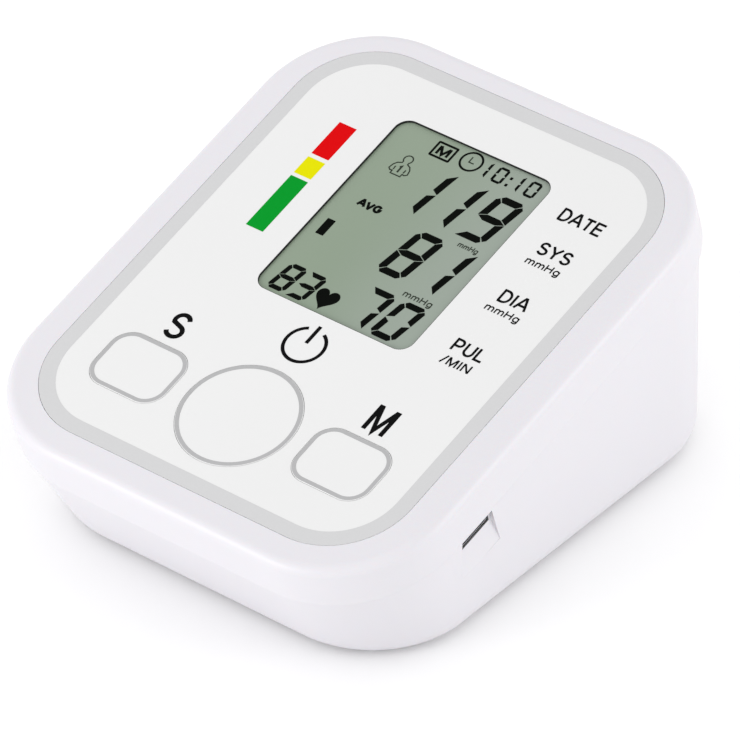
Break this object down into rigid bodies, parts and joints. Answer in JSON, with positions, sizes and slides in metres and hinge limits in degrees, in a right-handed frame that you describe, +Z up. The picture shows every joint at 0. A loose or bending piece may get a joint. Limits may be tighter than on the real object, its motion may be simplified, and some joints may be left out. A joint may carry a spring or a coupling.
{
  "type": "blood pressure monitor",
  "caption": "Desk-top blood pressure monitor with a tilted face, liquid crystal display, push keys, cuff air socket, USB power socket, inner air pump and battery bay.",
  "frame": {"origin": "middle of the bounding box in plan, on the surface that the feet stand on", "axes": "+X to the user's right, +Y from the user to the back of the case, +Z up"},
  "size_m": [0.1068, 0.1286, 0.0657],
  "materials": {
    "case_plastic": "injection moulded ABS, fine satin texture",
    "face_plastic": "screen printed polycarbonate sheet, satin",
    "key_plastic": "moulded ABS, semi gloss, printed legends",
    "window_plastic": "clear acrylic, polished",
    "display_glass": "reflective liquid crystal cell, greenish grey",
    "inner_plastic": "moulded ABS",
    "strip_rubber": "conductive elastomer strip",
    "board_laminate": "glass epoxy laminate with solder resist",
    "chip_plastic": "moulded epoxy",
    "steel": "zinc plated steel",
    "contact_metal": "nickel plated spring steel",
    "black_plastic": "moulded nylon",
    "plunger_plastic": "moulded nylon",
    "foot_rubber": "grey silicone rubber",
    "foam": "closed cell foam",
    "tube_silicone": "translucent silicone rubber",
    "socket_plastic": "moulded grey ABS",
    "cell_jacket": "printed plastic sleeve on a steel can"
  },
  "bodies": {
    "housing": {"upper_shell": "case_plastic", "lower_shell": "case_plastic", "face_panel": "face_plastic", "display_window": "window_plastic", "lcd_cell": "display_glass", "lcd_frame": "inner_plastic", "lcd_contact_strips": "strip_rubber", "main_board": "board_laminate", "board_chips": "chip_plastic", "board_screws": "steel", "buzzer": "black_plastic", "switch_bodies": "black_plastic", "battery_contacts": "contact_metal", "battery_springs": "contact_metal", "rubber_feet": "foot_rubber", "housing_screws": "steel", "pump_head": "inner_plastic", "pump_motor": "steel", "pump_pads": "foam", "air_tee": "inner_plastic", "air_socket": "socket_plastic", "socket_tube": "tube_silicone", "pump_tube": "tube_silicone", "valve_tube": "tube_silicone", "sensor_tube": "tube_silicone", "air_valve": "black_plastic", "pressure_sensor": "inner_plastic", "usb_board": "board_laminate", "usb_socket": "contact_metal", "battery_1": "cell_jacket", "battery_2": "cell_jacket", "battery_3": "cell_jacket", "battery_4": "cell_jacket"},
    "power_key": {"power_key": "key_plastic", "power_switch_plunger": "plunger_plastic"},
    "set_key": {"set_key": "key_plastic", "set_switch_plunger": "plunger_plastic"},
    "memory_key": {"memory_key": "key_plastic", "memory_switch_plunger": "plunger_plastic"},
    "battery_door": {"battery_door": "case_plastic"},
    "motor_shaft": {"motor_shaft": "steel"},
    "valve_pin": {"valve_pin": "steel"}
  },
  "joints": [
    {"name": "power_key_press", "type": "slide", "parent": "housing", "child": "power_key", "axis": [0, 0.279, -0.9603], "range_m": [0, 0.0006], "stiffness_N_per_m": 2200, "springref_m": -0.0002},
    {"name": "set_key_press", "type": "slide", "parent": "housing", "child": "set_key", "axis": [0, 0.279, -0.9603], "range_m": [0, 0.0006], "stiffness_N_per_m": 2200, "springref_m": -0.0002},
    {"name": "memory_key_press", "type": "slide", "parent": "housing", "child": "memory_key", "axis": [0, 0.279, -0.9603], "range_m": [0, 0.0006], "stiffness_N_per_m": 2200, "springref_m": -0.0002},
    {"name": "battery_door_swing", "type": "hinge", "parent": "housing", "child": "battery_door", "pos_m": [0.014, -0.0052, 0.0008], "axis": [-1, 0, 0], "range_deg": [0, 80]},
    {"name": "motor_shaft_spin", "type": "hinge", "parent": "housing", "child": "motor_shaft", "pos_m": [-0.0248, 0.022, 0.0157], "axis": [0, 1, 0], "continuous": true},
    {"name": "valve_pin_pull", "type": "slide", "parent": "housing", "child": "valve_pin", "axis": [-1, 0, 0], "range_m": [0, 0.0008], "stiffness_N_per_m": 400, "springref_m": -0.0005}
  ]
}
